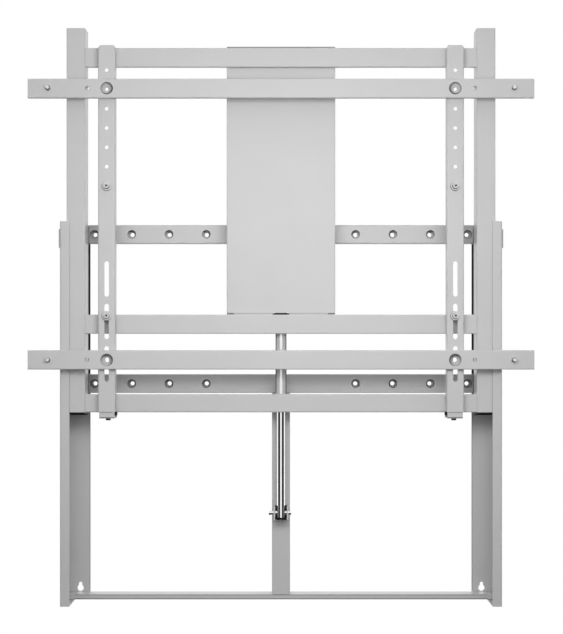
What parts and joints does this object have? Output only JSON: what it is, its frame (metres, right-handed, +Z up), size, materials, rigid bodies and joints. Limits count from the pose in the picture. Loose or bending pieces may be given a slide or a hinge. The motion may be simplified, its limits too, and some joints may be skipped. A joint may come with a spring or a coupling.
{
  "type": "motorised screen lift wall mount",
  "caption": "Silver-grey motorised wall mount that raises and lowers a large flat screen: a bolted wall frame, a sliding lift frame and a screen carrier.",
  "frame": {"origin": "on the wall plane, at the centre of the pattern of the outermost wall bolts", "axes": "+X to the right as seen from the front, +Y from the viewer into the wall, +Z up; the screen side faces -Y"},
  "size_m": [1.306, 0.171, 1.5083],
  "materials": {
    "painted_steel": "satin silver-grey powder coat",
    "chromed_rod": "polished",
    "aluminium": "satin anodised",
    "bright_steel": "zinc plated",
    "black_steel": "blackened",
    "grey_plastic": "matt",
    "black_plastic": "matt"
  },
  "bodies": {
    "wall_frame": {"upright_left": "painted_steel", "upright_right": "painted_steel", "upper_glide_left": "grey_plastic", "upper_glide_right": "grey_plastic", "wall_bar_upper": "painted_steel", "wall_bar_lower": "painted_steel", "bottom_bar": "painted_steel", "centre_post": "painted_steel", "rod_clevis": "painted_steel", "rod_pin": "bright_steel", "lift_rod": "chromed_rod"},
    "lift_frame": {"column_left": "painted_steel", "column_right": "painted_steel", "lower_glide_left": "grey_plastic", "lower_glide_right": "grey_plastic", "crossbar_upper": "painted_steel", "crossbar_middle": "painted_steel", "crossbar_lower": "painted_steel", "drive_cover": "painted_steel", "cover_bracket": "painted_steel", "drive_outer_tube": "aluminium", "wiper_ring": "black_plastic", "drive_gearbox": "aluminium", "drive_motor": "black_plastic", "drive_hanger": "painted_steel", "hanger_pin": "bright_steel", "controller": "black_plastic"},
    "screen_carrier": {"arm_left": "painted_steel", "arm_right": "painted_steel", "arm_hook_left": "painted_steel", "arm_hook_right": "painted_steel", "arm_clamp_left": "painted_steel", "arm_clamp_right": "painted_steel", "clamp_block_left": "black_plastic", "clamp_block_right": "black_plastic", "clamp_screw_left": "black_steel", "clamp_screw_right": "black_steel", "rail_upper": "painted_steel", "rail_lower": "painted_steel", "screen_screws_upper": "bright_steel", "screen_screws_lower": "bright_steel", "arm_screws": "bright_steel"}
  },
  "joints": [
    {"name": "lift", "type": "slide", "parent": "wall_frame", "child": "lift_frame", "axis": [0, 0, 1], "range_m": [-0.26, 0.24]},
    {"name": "side_shift", "type": "slide", "parent": "lift_frame", "child": "screen_carrier", "axis": [1, 0, 0], "range_m": [-0.035, 0.035]}
  ]
}
